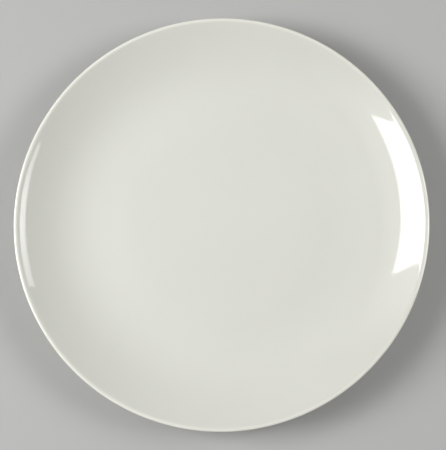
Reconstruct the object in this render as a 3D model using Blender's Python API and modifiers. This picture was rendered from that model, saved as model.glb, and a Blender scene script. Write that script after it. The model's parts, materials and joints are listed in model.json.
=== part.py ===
"""Coupe salad plate: a turned porcelain body on a foot ring, and the two coats of glaze fused to it.

Metres, +Z up. The origin is on the axis of the plate, in the plane that its foot ring stands on.
"""
import math

import bpy
from mathutils import Vector

# Driving dimensions, in metres, measured over the glaze unless bare clay is named
PLATE_DIAMETER = 0.210
WELL_HEIGHT = 0.0080        # face above the table, at the centre
BASE_THICKNESS = 0.0046     # face to underside, where the wall leaves the foot ring
LIP_RADIUS = 0.0011         # lip's underside, and width of the lip from crest to nose
CREST_RADIUS = 0.0015       # flatter roll just outside the lip's crest
NOSE_SLOPE = -26.0          # where that roll tightens into the nose, in degrees
FOOT_DIAMETER = 0.120       # outside of the bare face that the plate stands on
FOOT_WIDTH = 0.0036         # width of that bare face, with its rounded edges
FOOT_SPLAY = 12.0           # lean of the foot ring's flanks from upright, in degrees
FOOT_ROOT_FILLET = 0.0018
FOOT_EDGE_RADIUS = 0.0010
RECESS_HEIGHT = 0.0033      # underside inside the foot ring, above the table
GLAZE_LINE = 0.0010         # height where the glaze stops on the foot ring's flanks
GLAZE_THICKNESS = 0.0003
SEAM = 0.0003               # air kept between glaze and clay

# Stations on the face: share of the plate's radius, slope in degrees
WALL_FOOT = (0.62, 0.0)
BROW = (0.9805, 24.5)       # where the wall turns over into the lip
FACE_STATIONS = (           # from the axis out, with one arc from each to the next
    (0.44, 0.0),            # edge of the flat middle, which stands a little proud
    (0.51, -3.4),           # the faint step down round it
    (0.58, 0.0),
    WALL_FOOT,
    (0.83, 21.0),           # end of the main bend
    (0.9675, 27.9),         # where the wall is steepest
    BROW,
)

CHORD_ERROR = 0.00008       # largest distance between an arc and its chords
LEAST_CHORDS = 2            # chords in the shortest arc
TURN_STEPS = 60             # chords in a full turn
MERGE_DISTANCE = 0.00001

COAT = GLAZE_THICKNESS + SEAM


def sweep(outline, radius, start, end):
    """Carry an outline on round an arc that turns from heading start to heading end, in radians."""
    here = outline[-1]
    signed_radius = math.copysign(radius, end - start)
    chord_turn = 2.0 * math.acos(1.0 - CHORD_ERROR / radius)
    steps = max(LEAST_CHORDS, math.ceil(abs(end - start) / chord_turn))
    for step in range(1, steps + 1):
        heading = start + (end - start) * step / steps
        turned = Vector((math.sin(heading) - math.sin(start), math.cos(start) - math.cos(heading)))
        outline.append(here + signed_radius * turned)


def fillet(outline, corner, following, radius):
    """Carry an outline on to a corner and round it, ending on the line to the following point."""
    incoming = corner - outline[-1]
    outgoing = following - corner
    turn = -incoming.angle_signed(outgoing)
    heading = math.atan2(incoming.y, incoming.x)
    outline.append(corner - incoming.normalized() * radius * math.tan(abs(turn) / 2.0))
    sweep(outline, radius, heading, heading + turn)


def edge_normal(start, end):
    """Unit normal on the left of an edge, which is the outside of the plate's outline."""
    along = (end - start).normalized()
    return Vector((-along.y, along.x))


def set_back(outline, depths):
    """An outline moved inwards by a depth at each point, so that equal depths keep every edge parallel."""
    normals = [edge_normal(start, end) for start, end in zip(outline, outline[1:])]
    before = normals[:1] + normals
    after = normals + normals[-1:]
    return [point - depth * (a + b) / (1.0 + a.dot(b))
            for point, depth, a, b in zip(outline, depths, before, after)]


def face_outline():
    """Glazed face from the axis to the brow: a flat middle, then an arc from each station to the next."""
    reach = PLATE_DIAMETER / 2.0
    stations = [(share * reach, math.radians(slope)) for share, slope in FACE_STATIONS]
    outline = [Vector((0.0, WELL_HEIGHT)), Vector((stations[0][0], WELL_HEIGHT))]
    for (start, slope), (end, next_slope) in zip(stations, stations[1:]):
        if slope == next_slope:
            outline.append(outline[-1] + Vector((1.0, math.tan(slope))) * (end - start))
        else:
            radius = (end - start) / (math.sin(next_slope) - math.sin(slope))
            sweep(outline, abs(radius), slope, next_slope)
    return outline


def roll_lip(outline, brow_slope):
    """Carry the face over the lip's crest, round its nose and under, until it heads back down the wall."""
    nose_slope = math.radians(NOSE_SLOPE)
    nose_share = 1.0 + math.sin(nose_slope)
    nose_radius = (LIP_RADIUS + CREST_RADIUS * math.sin(nose_slope)) / nose_share
    crest_width = PLATE_DIAMETER / 2.0 - LIP_RADIUS - outline[-1].x
    sweep(outline, crest_width / math.sin(brow_slope), brow_slope, 0.0)
    sweep(outline, CREST_RADIUS, 0.0, nose_slope)
    sweep(outline, nose_radius, nose_slope, -math.pi / 2.0)
    sweep(outline, LIP_RADIUS, -math.pi / 2.0, brow_slope - math.pi)


def wall_back(wall, lip_end, brow_slope):
    """Back of the wall, from the lip in to the foot ring: the face set back by a smoothly growing depth."""
    brow = wall[-1]
    lip_thickness = (brow - lip_end).dot(Vector((-math.sin(brow_slope), math.cos(brow_slope))))
    depths = []
    for point in wall:
        share = (point.x - wall[0].x) / (brow.x - wall[0].x)
        eased = share * share * (3.0 - 2.0 * share)
        depths.append(BASE_THICKNESS + (lip_thickness - BASE_THICKNESS) * eased)
    return set_back(wall, depths)[::-1]


def plate_outlines():
    """Half sections as if the whole plate were dipped: main coat, wiped foot, and coat inside the foot."""
    splay = math.tan(math.radians(FOOT_SPLAY))
    mitre = COAT * math.tan(math.radians(45.0 - FOOT_SPLAY / 2.0))
    foot_outer = FOOT_DIAMETER / 2.0 + mitre
    foot_inner = FOOT_DIAMETER / 2.0 - FOOT_WIDTH - mitre
    brow_slope = math.radians(BROW[1])
    wall_start = WALL_FOOT[0] * PLATE_DIAMETER / 2.0

    def on_outer_flank(height):
        return Vector((foot_outer + (height + COAT) * splay, height))

    def on_inner_flank(height):
        return Vector((foot_inner - (height + COAT) * splay, height))

    coat = face_outline()
    wall = [point for point in coat if point.x > wall_start - MERGE_DISTANCE]
    roll_lip(coat, brow_slope)
    coat += wall_back(wall, coat[-1], brow_slope)
    fillet(coat, on_outer_flank(coat[-1].y), on_outer_flank(GLAZE_LINE), FOOT_ROOT_FILLET)
    coat.append(on_outer_flank(GLAZE_LINE))

    foot = coat[-1:]
    fillet(foot, on_outer_flank(-COAT), on_inner_flank(-COAT), FOOT_EDGE_RADIUS)
    fillet(foot, on_inner_flank(-COAT), on_inner_flank(GLAZE_LINE), FOOT_EDGE_RADIUS)

    base = [on_inner_flank(GLAZE_LINE)]
    recess_centre = Vector((0.0, RECESS_HEIGHT))
    fillet(base, on_inner_flank(RECESS_HEIGHT), recess_centre, FOOT_ROOT_FILLET)
    base.append(recess_centre)
    return coat, foot[1:], base


def ceramic(name, colour, roughness):
    """Material of one ceramic finish."""
    material = bpy.data.materials.new(name)
    material.use_nodes = True
    shader = material.node_tree.nodes["Principled BSDF"]
    shader.inputs["Base Color"].default_value = (*colour, 1.0)
    shader.inputs["Roughness"].default_value = roughness
    shader.inputs["Metallic"].default_value = 0.0
    return material


def turn_outline(name, outline, material, collection, axis):
    """Object turned from a half section about the plate's axis."""
    mesh = bpy.data.meshes.new(name)
    points = [(point.x, 0.0, point.y) for point in outline]
    mesh.from_pydata(points, [(i, i + 1) for i in range(len(points) - 1)], [])
    turned = bpy.data.objects.new(name, mesh)
    turned.parent = axis
    collection.objects.link(turned)
    screw = turned.modifiers.new("Turn", "SCREW")
    screw.angle = math.tau
    screw.steps = TURN_STEPS
    screw.render_steps = TURN_STEPS
    screw.use_merge_vertices = True
    screw.merge_threshold = MERGE_DISTANCE
    screw.use_smooth_shade = True
    mesh.materials.append(material)
    return turned


def add_thickness(turned, thickness):
    """Give an open turned skin its thickness, inwards."""
    wall = turned.modifiers.new("Thickness", "SOLIDIFY")
    wall.thickness = thickness
    wall.offset = -1.0
    wall.use_even_offset = True


def build_plate():
    """Clear the scene and make the body and both coats under one empty on the plate's axis."""
    for old in list(bpy.data.objects):
        bpy.data.objects.remove(old, do_unlink=True)
    collection = bpy.data.collections.new("salad_plate")
    bpy.context.scene.collection.children.link(collection)
    axis = bpy.data.objects.new("plate_axis", None)
    collection.objects.link(axis)

    bare_clay = ceramic("bare_porcelain", (0.72, 0.70, 0.64), 0.75)
    glaze = ceramic("ivory_glaze", (0.73, 0.735, 0.68), 0.06)

    coat, foot, base = plate_outlines()
    dipped = coat + foot + base
    clay = set_back(dipped, [COAT] * len(dipped))
    turn_outline("plate_body", clay, bare_clay, collection, axis)
    add_thickness(turn_outline("glaze_coat", coat, glaze, collection, axis), GLAZE_THICKNESS)
    add_thickness(turn_outline("base_glaze", base, glaze, collection, axis), GLAZE_THICKNESS)


build_plate()
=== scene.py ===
import json

import bpy
import numpy as np
from mathutils import Matrix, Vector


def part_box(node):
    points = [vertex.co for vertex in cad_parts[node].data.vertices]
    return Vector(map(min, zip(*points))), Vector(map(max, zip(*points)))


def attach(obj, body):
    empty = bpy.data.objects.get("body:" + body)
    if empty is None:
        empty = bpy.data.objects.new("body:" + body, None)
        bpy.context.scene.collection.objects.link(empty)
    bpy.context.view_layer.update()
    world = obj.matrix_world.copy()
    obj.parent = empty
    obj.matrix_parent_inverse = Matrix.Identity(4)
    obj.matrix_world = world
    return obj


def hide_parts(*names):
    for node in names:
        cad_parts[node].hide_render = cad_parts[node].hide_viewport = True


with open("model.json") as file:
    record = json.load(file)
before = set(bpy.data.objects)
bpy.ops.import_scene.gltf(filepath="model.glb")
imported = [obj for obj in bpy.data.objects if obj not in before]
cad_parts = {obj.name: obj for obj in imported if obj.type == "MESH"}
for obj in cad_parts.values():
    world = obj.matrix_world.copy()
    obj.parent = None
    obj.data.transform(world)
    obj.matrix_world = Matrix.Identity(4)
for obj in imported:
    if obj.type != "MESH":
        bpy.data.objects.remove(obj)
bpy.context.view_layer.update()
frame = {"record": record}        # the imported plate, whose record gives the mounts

# sizes that the frame gives, in metres
mountPlaces = {mount["name"]: mount["pos_m"] for mount in frame["record"]["mounts"]}
coatLow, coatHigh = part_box("glaze_coat")
plateRadius = coatHigh.x
wellHeight = mountPlaces["well_face"][2]
glazeLine = coatLow.z           # where both coats stop on the foot ring
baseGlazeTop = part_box("base_glaze")[1].z

# the plate's half section over the glaze, as if the foot had been dipped too, in metres and degrees
plateShape = {
    # stations on the face: share of the plate's radius, and the slope there; the last one is the brow, where
    # the wall turns over into the lip
    "well": ((0.0, 0.0), (0.44, 0.0), (0.51, -3.4), (0.58, 0.0)),
    "wall": ((0.62, 0.0), (0.83, 21.0), (0.9675, 27.9), (0.9805, 24.5)),
    "easing": 0.0008,           # width of the running mean over the slope
    "lipRadius": 0.0011,        # of the underside of the lip, and from its crest out to its nose
    "crestRadius": 0.0015,      # flatter roll just outside the crest
    "noseSlope": -26.0,         # where that roll tightens into the nose
    "baseThickness": 0.0046,    # face to back, where the wall leaves the foot ring
    "footRadius": 0.060,        # outside of the bare face that the plate stands on
    "footWidth": 0.0036,
    "footSplay": 12.0,          # lean of the foot ring's flanks from upright
    "footRootFillet": 0.0018,
    "footEdgeRadius": 0.0010,
    "glazeDepth": 0.0006,       # glaze on the clay
    "glazeThickness": 0.0003,   # of the solid coat in the frame, which leaves a bond gap below it
}

# faint rings left by the turning tool under the plate
toolRings = {
    "height": 0.000004,
    "spacings": (0.0023, 0.0037, 0.0061),
    "weights": (0.5, 0.8, 1.0),
    "lipFade": 0.006,           # length over which they die out towards the lip
    "footFade": 0.004,          # the same towards the foot ring, and towards the axis
}

# how the coats end above the bare foot
glazeEdge = {
    "roll": 0.0009,             # length over which the coat rolls down to the clay
    "bead": 0.00005,            # swelling above the roll
    "beadReach": 0.0022,
    "clearance": 0.00002,       # kept between coat and clay
}

meshDetail = {
    "slopeSteps": 4000,         # steps of the radius over which the slope is summed up
    "faceStops": (0.0, 0.42, 0.62, 0.94),   # shares of the radius where the face's points change spacing
    "faceSteps": (9, 44, 76, 34),           # from each stop to the next, and from the last to the crest
    "arcSteps": 14,             # in each arc of the lip and each root of the foot ring
    "edgeSteps": 12,            # in each rounded edge of the foot ring
    "wallPoints": 90,           # on the back of the wall
    "flankPoints": 14,          # on each glazed flank of the foot ring
    "footPoints": 10,           # across its bare face
    "recessPoints": 70,
    "coatTurns": 240,           # steps round the axis
    "clayTurns": 216,
    "baseTurns": 216,
    "innerEvery": 4,            # the hidden side of a coat takes one point in this many
}


def eased(share):
    # 3 s squared less 2 s cubed, with s held between 0 and 1
    share = np.clip(share, 0.0, 1.0)
    return share * share * (3 - 2 * share)


def arcPoints(start, fromHeading, toHeading, radius, steps):
    # start + signed radius x (gain of the heading's sine, loss of its cosine), in even steps of the heading
    heading = np.linspace(fromHeading, toHeading, steps + 1)[1:]
    signedRadius = np.copysign(radius, toHeading - fromHeading)
    outwards = np.sin(heading) - np.sin(fromHeading)
    upwards = np.cos(fromHeading) - np.cos(heading)
    return start + signedRadius * np.column_stack([outwards, upwards])


def cornerArc(before, corner, after, radius, steps):
    # arc that touches the lines before-corner and corner-after: it starts short of the corner by
    # radius x tangent of half the turn
    incoming = (corner - before) / np.linalg.norm(corner - before)
    outgoing = (after - corner) / np.linalg.norm(after - corner)
    fromHeading = np.arctan2(incoming[1], incoming[0])
    cross = incoming[0] * outgoing[1] - incoming[1] * outgoing[0]
    turn = np.arctan2(cross, incoming @ outgoing)
    start = corner - incoming * radius * np.tan(abs(turn) / 2)
    return np.vstack([start, arcPoints(start, fromHeading, fromHeading + turn, radius, steps)])


def outwardNormals(outline):
    # tangent by central differences, turned a quarter to the left
    tangent = np.gradient(outline, axis=0)
    tangent /= np.linalg.norm(tangent, axis=1, keepdims=True)
    return np.column_stack([-tangent[:, 1], tangent[:, 0]])


def lengthAlong(outline):
    # running sum of the distances from point to point
    return np.concatenate([[0.0], np.cumsum(np.linalg.norm(np.diff(outline, axis=0), axis=1))])


def toolRipple(radius):
    # waves of three spacings in the radius, summed
    ripple = np.zeros_like(radius)
    for spacing, weight in zip(toolRings["spacings"], toolRings["weights"]):
        ripple += weight * np.sin(2 * np.pi * radius / spacing)
    return toolRings["height"] * ripple


def faceCurve(shape):
    # the sine of the slope runs straight from station to station and takes a running mean; the tangent that
    # belongs to it, summed from the axis outwards, is the height
    crest = plateRadius - shape["lipRadius"]
    radius = np.linspace(0.0, crest, meshDetail["slopeSteps"] + 1)
    shares, slopes = np.transpose((*shape["well"], *shape["wall"], (crest / plateRadius, 0.0)))
    sine = np.interp(radius / plateRadius, shares, np.sin(np.radians(slopes)))
    half = int(round(shape["easing"] / radius[1] / 2))
    padded = np.pad(sine, half, mode="reflect", reflect_type="odd")
    sine = np.convolve(padded, np.full(2 * half + 1, 1 / (2 * half + 1)), mode="valid")
    tangent = sine / np.sqrt(1 - sine**2)
    rises = (tangent[1:] + tangent[:-1]) / 2 * np.diff(radius)
    height = wellHeight + np.concatenate([[0.0], np.cumsum(rises)])
    return radius, sine, height


def facePoints(radius, height):
    # points on the face up to the crest of the lip, closer together where it bends
    stops = np.array((*meshDetail["faceStops"], radius[-1] / plateRadius)) * plateRadius
    spans = zip(stops, stops[1:], meshDetail["faceSteps"])
    samples = [np.linspace(start, end, steps, endpoint=False) for start, end, steps in spans]
    samples = np.concatenate([*samples, stops[-1:]])
    return np.column_stack([samples, np.interp(samples, radius, height)])


def lipRoll(crest, shape):
    # three arcs on from the crest: the flat roll and the nose, which together reach out by the lip's radius,
    # and the underside, which ends heading back down the wall
    steps = meshDetail["arcSteps"]
    browSlope = np.radians(shape["wall"][-1][1])
    noseSlope = np.radians(shape["noseSlope"])
    crestReach = shape["crestRadius"] * np.sin(-noseSlope)
    noseRadius = (shape["lipRadius"] - crestReach) / (1 - np.sin(-noseSlope))
    roll = arcPoints(crest, 0.0, noseSlope, shape["crestRadius"], steps)
    nose = arcPoints(roll[-1], noseSlope, -np.pi / 2, noseRadius, steps)
    under = arcPoints(nose[-1], -np.pi / 2, browSlope - np.pi, shape["lipRadius"], steps)
    return np.vstack([roll, nose, under])


def wallBack(radius, sine, height, lipEnd, shape):
    # the wall's face moved in along its normal, by a depth that grows smoothly from lip to foot, less the
    # ripple that the tool left
    footRadius = shape["wall"][0][0] * plateRadius
    browRadius = shape["wall"][-1][0] * plateRadius
    browSlope = np.radians(shape["wall"][-1][1])
    wall = np.linspace(browRadius, footRadius, meshDetail["wallPoints"])
    wallSine = np.interp(wall, radius, sine)
    wallHeight = np.interp(wall, radius, height)
    browNormal = np.array([-np.sin(browSlope), np.cos(browSlope)])
    lipThickness = (np.array([browRadius, wallHeight[0]]) - lipEnd) @ browNormal
    grown = eased((browRadius - wall) / (browRadius - footRadius))
    depth = lipThickness + (shape["baseThickness"] - lipThickness) * grown
    ripple = toolRipple(wall) * eased((browRadius - wall) / toolRings["lipFade"])
    depth = depth - ripple * eased((wall - footRadius) / toolRings["footFade"])
    return np.column_stack([wall + depth * wallSine, wallHeight - depth * np.sqrt(1 - wallSine**2)])


def footRing(backEnd, shape):
    # leaning flanks, a flat face and a rippled recess, with an arc in each corner, in three runs: down to the
    # glaze line, round the bare foot, and from the glaze line in to the axis
    arcSteps, edgeSteps = meshDetail["arcSteps"], meshDetail["edgeSteps"]
    fillet, edgeRadius = shape["footRootFillet"], shape["footEdgeRadius"]
    dip = shape["glazeDepth"]
    splay = np.tan(np.radians(shape["footSplay"]))
    mitre = dip * np.tan(np.radians(45 - shape["footSplay"] / 2))       # how far the dip widens the face
    outerReach = shape["footRadius"] + mitre
    innerReach = shape["footRadius"] - shape["footWidth"] - mitre

    def outerFlank(z):
        return np.array([outerReach + (z + dip) * splay, z])

    def innerFlank(z):
        return np.array([innerReach - (z + dip) * splay, z])

    outerLine, innerLine = outerFlank(glazeLine), innerFlank(glazeLine)
    outerCorner, innerCorner = outerFlank(-dip), innerFlank(-dip)
    outerRoot = cornerArc(backEnd, outerFlank(backEnd[1]), outerLine, fillet, arcSteps)
    outerRun = np.linspace(outerRoot[-1], outerLine, meshDetail["flankPoints"])[1:]

    outerEdge = cornerArc(outerLine, outerCorner, innerCorner, edgeRadius, edgeSteps)
    innerEdge = cornerArc(outerCorner, innerCorner, innerLine, edgeRadius, edgeSteps)
    footFace = np.linspace(outerEdge[-1], innerEdge[0], meshDetail["footPoints"])[1:-1]

    recessHeight = baseGlazeTop - shape["glazeThickness"]
    recessCentre = np.array([0.0, recessHeight])
    innerRoot = cornerArc(innerLine, innerFlank(recessHeight), recessCentre, fillet, arcSteps)
    innerRun = np.linspace(innerLine, innerRoot[0], meshDetail["flankPoints"])[:-1]
    recessReach = innerRoot[-1, 0]
    recess = np.linspace(recessReach, 0.0, meshDetail["recessPoints"])[1:]
    fade = eased((recessReach - recess) / toolRings["footFade"]) * eased(recess / toolRings["footFade"])
    recess = np.column_stack([recess, recessHeight - toolRipple(recess) * fade])

    glazedOuter = np.vstack([outerRoot, outerRun])
    bare = np.vstack([outerEdge, footFace, innerEdge])
    glazedInner = np.vstack([innerRun, innerRoot, recess])
    return glazedOuter, bare, glazedInner


def dippedOutline(shape):
    # face, lip, back of the wall and foot in one line from the axis to the axis, parted where the coats stop
    radius, sine, height = faceCurve(shape)
    face = facePoints(radius, height)
    lip = lipRoll(face[-1], shape)
    back = wallBack(radius, sine, height, lip[-1], shape)
    glazedOuter, bare, glazedInner = footRing(back[-1], shape)
    return np.vstack([face, lip, back, glazedOuter]), bare, glazedInner


def coatSection(skin, normals, edgeAtEnd, shape):
    # outer side: the skin, sunk by a quarter ellipse over the roll and raised by a bead just before it;
    # inner side: the skin set back to the clay; the two meet in one point at the glaze line
    along = lengthAlong(skin)
    toEdge = along[-1] - along if edgeAtEnd else along
    depth = shape["glazeDepth"] - glazeEdge["clearance"]
    share = np.clip(1 - toEdge / glazeEdge["roll"], 0.0, 1.0)
    sunk = depth * (1 - np.sqrt(1 - share**2))
    beadShare = np.clip(toEdge / glazeEdge["beadReach"], 0.0, 1.0)
    bead = glazeEdge["bead"] * np.sin(np.pi * beadShare) ** 2
    outer = skin - normals * (sunk - bead)[:, None]
    inner = skin - normals * depth
    every = meshDetail["innerEvery"]
    if edgeAtEnd:
        return np.vstack([outer, inner[1:-1][::-every], inner[:1]])
    return np.vstack([inner[-1:], inner[1:][::-every][1:], outer])


def turnedPiece(name, section, turns):
    # a section carried round the axis: x = r cos a, y = r sin a, with one point for each end on the axis
    angle = np.linspace(0.0, 2 * np.pi, turns, endpoint=False)
    ring = section[1:-1]
    x = ring[:, :1] * np.cos(angle)
    y = ring[:, :1] * np.sin(angle)
    z = np.broadcast_to(ring[:, 1:], x.shape)
    body = np.stack([x, y, z], axis=2).reshape(-1, 3)
    points = np.vstack([[0.0, 0.0, section[0, 1]], body, [0.0, 0.0, section[-1, 1]]])

    here = 1 + np.arange(len(ring) * turns).reshape(len(ring), turns)
    after = np.roll(here, -1, axis=1)
    quads = np.stack([here[:-1], here[1:], after[1:], after[:-1]], axis=2).reshape(-1, 4)
    firstFan = np.column_stack([np.zeros(turns, int), here[0], after[0]])
    lastFan = np.column_stack([np.full(turns, len(points) - 1), after[-1], here[-1]])

    mesh = bpy.data.meshes.new(name)
    mesh.from_pydata(points.tolist(), [], firstFan.tolist() + quads.tolist() + lastFan.tolist())
    mesh.validate()
    mesh.shade_smooth()
    piece = bpy.data.objects.new(name, mesh)
    bpy.context.scene.collection.objects.link(piece)
    return piece


class Value:
    # a shader socket that takes part in Python arithmetic: each operator adds one Math node
    def __init__(self, finish, socket):
        self.finish = finish
        self.socket = socket

    def math(self, operation, first, second):
        return self.finish.add("Math", {"operation": operation}, {0: first, 1: second})

    def __add__(self, other):
        return self.math("ADD", self, other)

    def __radd__(self, other):
        return self.math("ADD", other, self)

    def __sub__(self, other):
        return self.math("SUBTRACT", self, other)

    def __rsub__(self, other):
        return self.math("SUBTRACT", other, self)

    def __mul__(self, other):
        return self.math("MULTIPLY", self, other)

    def __rmul__(self, other):
        return self.math("MULTIPLY", other, self)


class Finish:
    # the nodes of one material, or of the world
    def __init__(self, owner):
        owner.use_nodes = True
        self.tree = owner.node_tree
        self.tree.nodes.clear()

    # makes a node of a kind, gives it its settings, then sets or links its sockets
    def add(self, kind, settings=None, sockets=None, out=0):
        node = self.tree.nodes.new("ShaderNode" + kind)
        for key, setting in (settings or {}).items():
            setattr(node, key, setting)
        for key, given in (sockets or {}).items():
            if isinstance(given, Value):
                self.tree.links.new(given.socket, node.inputs[key])
            else:
                node.inputs[key].default_value = given
        return Value(self, node.outputs[out]) if node.outputs else None

    # 0 below low, 1 above high, and eased between them
    def step(self, given, low, high):
        return self.add("MapRange", {"interpolation_type": "SMOOTHSTEP"}, {
            "Value": given, "From Min": low, "From Max": high})

    # one colour turning into another as the share grows; sockets 6 and 7 take the colours
    def blend(self, share, first, second):
        return self.add("Mix", {"data_type": "RGBA"}, {0: share, 6: first, 7: second}, out=2)

    # clouds of about 0 to 1, with a scale per metre
    def noise(self, place, scale, detail=2.0):
        return self.add("TexNoise", None, {"Vector": place, "Scale": scale, "Detail": detail})

    # a place flattened onto the table
    def plan(self, place):
        return self.add("VectorMath", {"operation": "MULTIPLY"}, {0: place, 1: (1.0, 1.0, 0.0)})

    # distance of a place from the origin
    def length(self, vector):
        return self.add("VectorMath", {"operation": "LENGTH"}, {0: vector}, out="Value")

    # 1 for rays of one kind, such as Camera or Glossy, and 0 for the others
    def ray(self, kind):
        return self.add("LightPath", out="Is " + kind + " Ray")


ivoryGlaze = {
    "ivory": (0.745, 0.750, 0.686, 1.0),
    "deepIvoryAndShade": (0.716, 0.719, 0.655, 1.0),        # the deeper tint of the slow clouds, and of the painted shade up the wall
    "thinLipAndHighlightIvory": (0.850, 0.842, 0.767, 1.0),         # over the lip: paler clay under thin glaze, partly a painted highlight along the rim
    "cloudScale": 17.0,         # slow drift of tint, per metre
    "cloudCut": (0.45, 0.95),   # noise over which the drift runs from ivory to deep ivory
    "cloudDepth": 0.4,          # share of the deep ivory in the drift
    "paintedShade": (0.57, 0.95),       # shares of the radius over which painted shade deepens, up the wall
    "paintedShadeDepth": 0.8,
    "lip": (0.978, 0.993),      # shares of the radius over which it turns paler, partly as a painted highlight
    "thinLipAndHighlightDepth": 0.9,
    "mottleScale": 240.0,       # fine unevenness, per metre
    "mottleTint": 0.35,         # its part in the drift
    "mottleRoughness": 0.012,
    "roughness": 0.045,
    "refraction": 1.62,
    "waveScale": 75.0,          # slow swell of the melt, per metre
    "waveHeight": 0.000010,
    "speckScale": 60.0,         # cells that may hold a speck, per metre
    "speckSize": (0.0044, 0.011),       # radius of its core and of its soft edge, in cells
    "speckDraw": (0.90, 0.92),          # cells that draw less than this stay clean
    "speckDepth": 0.5,
    "speckColour": (0.45, 0.38, 0.28, 1.0),
    "markReach": (0.42, 0.60),  # shares of the radius over which the cutlery marks fade out
    "markLength": 0.070,
    "markWidth": 0.0010,
    "markTurns": (0.35, 1.30, 2.50),    # directions of the marks, in radians
    "markCut": (0.70, 0.80),            # noise over which a mark sets in
    "markRoughness": 0.035,
}

# inside the foot ring: painted shade towards the root of the foot ring, a rougher swell, no lip within reach
# and no marks
baseGlazeLook = dict(ivoryGlaze, paintedShade=(0.46, 0.53), lip=(2.0, 3.0), waveHeight=0.000022, waveScale=95.0,
                     markRoughness=0.0, roughness=0.06)

footClay = {
    "clay": (0.735, 0.715, 0.655, 1.0),
    "darkClay": (0.655, 0.630, 0.560, 1.0),
    "patchScale": 130.0,        # per metre, like the next two
    "grainScale": 2600.0,
    "ringScale": 5200.0,        # grinding rings, along the radius
    "grainTint": 0.4,           # parts of grain and rings in the patches
    "ringTint": 0.3,
    "patchCut": (0.6, 1.1),     # sum over which the clay runs from pale to dark
    "flashing": (0.690, 0.590, 0.455, 1.0),         # warm line beside the glaze
    "flashFrom": 0.45,          # where it starts, as a share of the glaze line's height
    "flashDepth": 0.25,
    "flashPatches": 0.4,        # what the patches add to that depth
    "scuff": (0.470, 0.455, 0.430, 1.0),            # grey rubbed into the standing face
    "scuffTo": 0.15,            # where it ends, as a share of the glaze line's height
    "scuffCut": (0.22, 0.42),
    "scuffDepth": 0.35,
    "roughness": 0.72,
    "grainRoughness": 0.12,
    "scuffPolish": 0.14,
    "grainHeight": 0.000020,
    "ringHeight": 0.8,          # as a share of the grain's
}


def glazeFinish(name, look):
    # ivory drifting to a deeper tint in slow clouds, darker up the wall as painted shade, and paler over the
    # lip, partly from thinner glaze and partly as a painted highlight along the rim, with a few iron specks;
    # gloss broken a little by fine noise and by cutlery marks; a slow swell in the surface
    material = bpy.data.materials.new(name)
    finish = Finish(material)
    place = finish.add("TexCoord", out="Object")
    plan = finish.plan(place)
    share = finish.length(plan) * (1 / plateRadius)

    clouds = finish.noise(place, look["cloudScale"])
    mottle = finish.noise(place, look["mottleScale"], detail=3.0)
    drift = finish.step(clouds + look["mottleTint"] * mottle, *look["cloudCut"])
    # painted shade: the tint deepens up the wall, and inside the foot ring towards its root
    paintedShade = finish.step(share, *look["paintedShade"])
    deep = drift * look["cloudDepth"] + paintedShade * look["paintedShadeDepth"]
    colour = finish.blend(deep, look["ivory"], look["deepIvoryAndShade"])
    # partly painted highlight along the rim: paler over the lip, partly from thinner glaze over white clay
    thinLipAndHighlight = finish.step(share, *look["lip"]) * look["thinLipAndHighlightDepth"]
    colour = finish.blend(thinLipAndHighlight, colour, look["thinLipAndHighlightIvory"])

    flat = {"voronoi_dimensions": "2D"}
    cells = {"Vector": plan, "Scale": look["speckScale"]}
    fromSpeck = finish.add("TexVoronoi", flat, cells, out="Distance")
    draw = finish.add("SeparateColor", None, {0: finish.add("TexVoronoi", flat, cells, out="Color")})
    speck = 1 - finish.step(fromSpeck, *look["speckSize"])
    speck = speck * finish.step(draw, *look["speckDraw"])
    colour = finish.blend(speck * look["speckDepth"], colour, look["speckColour"])

    strokes = []
    for turn in look["markTurns"]:
        stretch = (look["markLength"], look["markWidth"], 1.0)
        stretched = finish.add("Mapping", {"vector_type": "TEXTURE"}, {
            "Vector": plan, "Rotation": (0.0, 0.0, turn), "Scale": stretch})
        strokes.append(finish.step(finish.noise(stretched, scale=1.0, detail=0.0), *look["markCut"]))
    worn = 1 - finish.step(share, *look["markReach"])
    marks = worn * (strokes[0] + strokes[1] + strokes[2])
    roughness = look["roughness"] + look["mottleRoughness"] * mottle + marks * look["markRoughness"]

    swell = finish.noise(place, look["waveScale"], detail=1.0)
    normal = finish.add("Bump", None, {"Strength": 1.0, "Distance": look["waveHeight"], "Height": swell})
    shader = finish.add("BsdfPrincipled", None, {
        "Base Color": colour, "Roughness": roughness, "IOR": look["refraction"], "Normal": normal})
    finish.add("OutputMaterial", None, {"Surface": shader})
    return material


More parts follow.
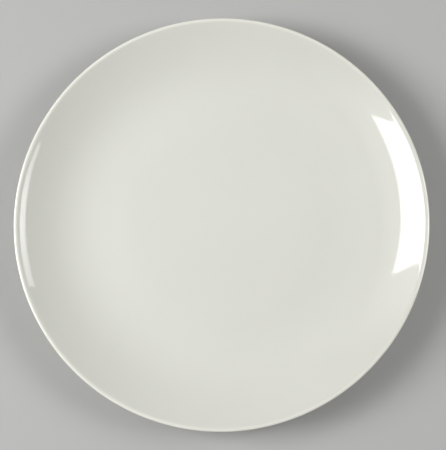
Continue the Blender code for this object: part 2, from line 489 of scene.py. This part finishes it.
def clayFinish(name, look):
    # bare porcelain: patchy cream with grinding rings and grain, a warm line beside the glaze, grey rubbed in
    # where it stands
    material = bpy.data.materials.new(name)
    finish = Finish(material)
    place = finish.add("TexCoord", out="Object")
    radius = finish.length(finish.plan(place))
    height = finish.add("SeparateXYZ", None, {0: place}, out="Z")

    grain = finish.noise(place, look["grainScale"], detail=3.0)
    patches = finish.noise(place, look["patchScale"], detail=3.0)
    rings = finish.add("TexNoise", {"noise_dimensions": "1D"}, {
        "W": radius, "Scale": look["ringScale"], "Detail": 2.0})
    dark = patches + look["grainTint"] * grain + look["ringTint"] * rings
    colour = finish.blend(finish.step(dark, *look["patchCut"]), look["clay"], look["darkClay"])
    beside = finish.step(height, glazeLine * look["flashFrom"], glazeLine)
    flashed = beside * (look["flashDepth"] + look["flashPatches"] * patches)
    colour = finish.blend(flashed, colour, look["flashing"])
    below = 1 - finish.step(height, 0.0, glazeLine * look["scuffTo"])
    rubbed = below * finish.step(patches * rings, *look["scuffCut"])
    colour = finish.blend(rubbed * look["scuffDepth"], colour, look["scuff"])

    roughness = look["roughness"] + look["grainRoughness"] * grain - look["scuffPolish"] * rubbed
    relief = grain + look["ringHeight"] * rings * below
    normal = finish.add("Bump", None, {"Strength": 1.0, "Distance": look["grainHeight"], "Height": relief})
    shader = finish.add("BsdfPrincipled", None, {
        "Base Color": colour, "Roughness": roughness, "Normal": normal})
    finish.add("OutputMaterial", None, {"Surface": shader})
    return material


coat, foot, base = dippedOutline(plateShape)
outline = np.vstack([coat, foot, base])
outlineNormals = outwardNormals(outline)
outlineNormals[0] = (0.0, 1.0)          # both ends are on the axis
outlineNormals[-1] = (0.0, -1.0)
coatNormals = outlineNormals[:len(coat)]
baseNormals = outlineNormals[-len(base):]
clayOutline = outline - outlineNormals * plateShape["glazeDepth"]

glazeCoat = turnedPiece("ivory_glaze_coat", coatSection(coat, coatNormals, True, plateShape),
                        meshDetail["coatTurns"])
porcelainBody = turnedPiece("porcelain_body", clayOutline, meshDetail["clayTurns"])
baseGlaze = turnedPiece("base_glaze_disc", coatSection(base, baseNormals, False, plateShape),
                        meshDetail["baseTurns"])
print("turned", [(piece.name, len(piece.data.polygons)) for piece in (glazeCoat, porcelainBody, baseGlaze)])

dressing = (
    (glazeCoat, "glaze_coat", "ivory_glaze", glazeFinish("ivory glaze", ivoryGlaze)),
    (porcelainBody, "plate_body", "bare_porcelain", clayFinish("bare porcelain", footClay)),
    (baseGlaze, "base_glaze", "ivory_base_glaze", glazeFinish("ivory base glaze", baseGlazeLook)),
)
for piece, node, slot, material in dressing:
    piece.data.materials.append(material)
    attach(piece, "root")
    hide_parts(node)
    print("dressed", piece.name)


# the floor, and the distances from the axis over which it merges with the backdrop
studioFloor = {"reach": 5.0, "colour": (0.46, 0.46, 0.45, 1.0), "roughness": 0.75, "merge": (0.30, 1.30)}

# soft panels that slope down away from the plate
keyPanel = {
    "edge": (-0.673, 0.039, 0.990),     # midway between the two corners next to the plate
    "side": -1,                         # end of X towards which the panel runs out
    "turn": 4.6,                        # lean of the line between those corners, in degrees
    "fall": 15.0,                       # slope down outwards, in degrees
    "width": 0.625,
    "depth": 0.975,
    "bow": 0.050,                       # how far the near edge bows outwards from that line
    "strength": (7.25, 18.25),          # at the near edge, and from the end of the ramp on
    "ramp": 1.0,                        # as a share of the depth
    "fade": (0.0, 0.0),                 # share lost towards both ends, near and far
    "fadeFrom": 0.1,                    # share of the half width where the loss starts
}
fillPanel = {
    "edge": (0.712, 0.118, 0.975),
    "side": 1,
    "turn": 2.2,
    "fall": 30.0,
    "width": 0.626,
    "depth": 0.580,
    "bow": 0.035,
    "strength": (5.7, 10.5),
    "ramp": 1.0,
    "fade": (0.43, 0.0),
    "fadeFrom": 0.1,
}
# light that spills round the key, from a larger sheet behind it
spillPanel = {
    "edge": (-0.360, 0.080, 1.085),
    "side": -1,
    "turn": 4.6,
    "fall": 15.0,
    "width": 1.50,
    "depth": 1.29,
    "bow": 0.0,
    "strength": (0.0, 1.5),
    "ramp": 0.40,
    "fade": (1.0, 1.0),
    "fadeFrom": 0.45,
}
panelPoints = (33, 9)           # across and outwards

roomLight = {"colour": (1.0, 1.0, 1.0, 1.0), "strength": 0.175}         # from every side
backdrop = {
    "colour": (1.0, 1.0, 0.985, 1.0),
    "strength": 0.44,           # what the camera sees behind the floor
    "sheen": 1.3,               # the brighter cards that the glaze mirrors below the lamps
    "top": (0.30, 0.60),        # sines of the elevation between which the cards fade out
}

# where the plate is in the picture, in pixels
picture = {"width": 446, "height": 450, "plateCentre": (221.7, 225.3), "plateRadius": 208.0}
photoCamera = {
    "tilt": 7.1,                # from straight above, in degrees
    "azimuth": -68.0,           # side from which it looks, in degrees from +X
    "lens": 100.0,              # in millimetres, like the sensor
    "sensor": 36.0,
    "outlineHeight": 0.0178,    # of the lip's widest line above the table
    "outlineSteps": 720,        # points round that line
}


def floorSheet():
    # a flat square in the plane that the foot stands on, which merges with the backdrop away from the plate
    corners = np.array([[-1, -1, 0], [1, -1, 0], [1, 1, 0], [-1, 1, 0]]) * studioFloor["reach"]
    mesh = bpy.data.meshes.new("studio_floor")
    mesh.from_pydata(corners.tolist(), [], [(0, 1, 2, 3)])
    floor = bpy.data.objects.new("studio_floor", mesh)
    bpy.context.scene.collection.objects.link(floor)

    material = bpy.data.materials.new("pale floor")
    material.cycles.emission_sampling = "NONE"
    finish = Finish(material)
    away = finish.length(finish.add("TexCoord", out="Object"))
    shader = finish.add("BsdfPrincipled", None, {
        "Base Color": studioFloor["colour"], "Roughness": studioFloor["roughness"]})
    behind = finish.add("Emission", None, {"Color": backdrop["colour"], "Strength": backdrop["strength"]})
    far = finish.step(away, *studioFloor["merge"]) * (finish.ray("Camera") + finish.ray("Glossy"))
    shader = finish.add("MixShader", None, {0: far, 1: shader, 2: behind})
    finish.add("OutputMaterial", None, {"Surface": shader})
    mesh.materials.append(material)


def panelSheet(name, panel):
    # points edge + across x a half width + outwards x (bow x (1 - a squared) + d depth), with a from -1 to 1
    # and d from 0 to 1, which the panel's map keeps
    fall = np.radians(panel["fall"])
    turn = np.radians(panel["turn"])
    outwards = np.array([panel["side"] * np.cos(fall), 0.0, -np.sin(fall)])
    across = np.array([0.0, np.cos(turn), 0.0]) + outwards * np.sin(turn)
    acrossPoints, outwardPoints = panelPoints
    a, d = np.meshgrid(np.linspace(-1, 1, acrossPoints), np.linspace(0, 1, outwardPoints), indexing="ij")
    sideways = a * panel["width"] / 2
    run = panel["bow"] * (1 - a**2) + d * panel["depth"]
    points = np.array(panel["edge"]) + across * sideways[..., None] + outwards * run[..., None]

    number = np.arange(a.size).reshape(a.shape)
    quads = np.stack([number[:-1, :-1], number[1:, :-1], number[1:, 1:], number[:-1, 1:]], axis=2)
    quads = quads.reshape(-1, 4)
    facing = np.cross(across, outwards) @ -np.array(panel["edge"])
    quads = quads if facing > 0 else quads[:, ::-1]         # the lit side is towards the plate
    mesh = bpy.data.meshes.new(name)
    mesh.from_pydata(points.reshape(-1, 3).tolist(), [], quads.tolist())
    layer = mesh.uv_layers.new(name="panel")
    corners = np.zeros(len(mesh.loops), np.int32)
    mesh.loops.foreach_get("vertex_index", corners)
    panelMap = np.column_stack([a.ravel(), d.ravel()])[corners]
    layer.data.foreach_set("uv", panelMap.ravel().astype(np.float32))
    return mesh


def panelGlow(name, panel):
    # on the front only: a strength that runs from near to far over the ramp, less the loss towards both ends
    material = bpy.data.materials.new(name)
    material.cycles.emission_sampling = "FRONT"
    finish = Finish(material)
    where = finish.add("UVMap", {"uv_map": "panel"})
    sideways = finish.add("SeparateXYZ", None, {0: where}, out="X")
    fromMiddle = finish.add("Math", {"operation": "ABSOLUTE"}, {0: sideways})
    deep = finish.add("SeparateXYZ", None, {0: where}, out="Y")
    near, far = panel["strength"]
    strength = finish.add("MapRange", None, {
        "Value": deep, "From Min": 0.0, "From Max": panel["ramp"], "To Min": near, "To Max": far})
    fadeNear, fadeFar = panel["fade"]
    loss = fadeNear + deep * (fadeFar - fadeNear)
    ends = 1 - finish.step(fromMiddle, panel["fadeFrom"], 1.0) * loss
    front = 1 - finish.add("NewGeometry", out="Backfacing")
    light = finish.add("Emission", None, {"Strength": strength * ends * front})
    finish.add("OutputMaterial", None, {"Surface": light})
    return material


def lampPanel(name, panel):
    # the sheet with its glow, which the camera itself doesn't see
    mesh = panelSheet(name, panel)
    mesh.materials.append(panelGlow(name, panel))
    lamp = bpy.data.objects.new(name, mesh)
    lamp.visible_camera = False
    bpy.context.scene.collection.objects.link(lamp)


def roomWorld():
    # an even dome; the camera sees the backdrop instead, and reflections see the cards up to their top
    world = bpy.data.worlds.new("room")
    bpy.context.scene.world = world
    finish = Finish(world)
    room = finish.add("Background", None, {"Color": roomLight["colour"], "Strength": roomLight["strength"]})
    behind = finish.add("Background", None, {"Color": backdrop["colour"], "Strength": backdrop["strength"]})
    cards = finish.add("Background", None, {"Color": backdrop["colour"], "Strength": backdrop["sheen"]})
    skyward = finish.add("SeparateXYZ", None, {0: finish.add("TexCoord", out="Generated")}, out="Z")
    low = 1 - finish.step(skyward, *backdrop["top"])
    light = finish.add("MixShader", None, {0: low * finish.ray("Glossy"), 1: room, 2: cards})
    light = finish.add("MixShader", None, {0: finish.ray("Camera"), 1: light, 2: behind})
    finish.add("OutputWorld", None, {"Surface": light})


def placeCamera():
    # looks at the lip's plane from near overhead, so far off that the lip has its radius in the picture, and
    # slides sideways until the middle of the lip's outline is where the picture has it
    tilt = np.radians(photoCamera["tilt"])
    azimuth = np.radians(photoCamera["azimuth"])
    towards = np.array([np.sin(tilt) * np.cos(azimuth), np.sin(tilt) * np.sin(azimuth), np.cos(tilt)])
    right = np.cross(-towards, (0.0, 1.0, 0.0))
    right /= np.linalg.norm(right)
    up = np.cross(towards, right)
    focal = photoCamera["lens"] / photoCamera["sensor"] * max(picture["width"], picture["height"])
    distance = focal * plateRadius / picture["plateRadius"]

    angle = np.linspace(0, 2 * np.pi, photoCamera["outlineSteps"], endpoint=False)
    lip = plateRadius * np.column_stack([np.cos(angle), np.sin(angle), np.zeros_like(angle)])
    away = distance - lip @ towards
    seen = focal * np.column_stack([lip @ right / away, -lip @ up / away])
    middle = (seen.max(axis=0) + seen.min(axis=0)) / 2
    wanted = np.array(picture["plateCentre"]) - np.array([picture["width"], picture["height"]]) / 2
    slide = (middle - wanted) * distance / focal
    place = np.array([0.0, 0.0, photoCamera["outlineHeight"]]) + towards * distance
    place = place + right * slide[0] - up * slide[1]

    camera = bpy.data.objects.new("photo_camera", bpy.data.cameras.new("photo_camera"))
    camera.data.lens = photoCamera["lens"]
    camera.data.sensor_width = photoCamera["sensor"]
    turned = np.eye(4)
    turned[:3, :3] = np.column_stack([right, up, towards])
    turned[:3, 3] = place
    camera.matrix_world = Matrix(turned.tolist())
    bpy.context.scene.collection.objects.link(camera)
    bpy.context.scene.camera = camera


floorSheet()
for name, panel in (("key_panel", keyPanel), ("fill_panel", fillPanel), ("spill_panel", spillPanel)):
    lampPanel(name, panel)
roomWorld()
placeCamera()
bpy.context.scene.view_settings.view_transform = "Standard"
print("lit and framed")
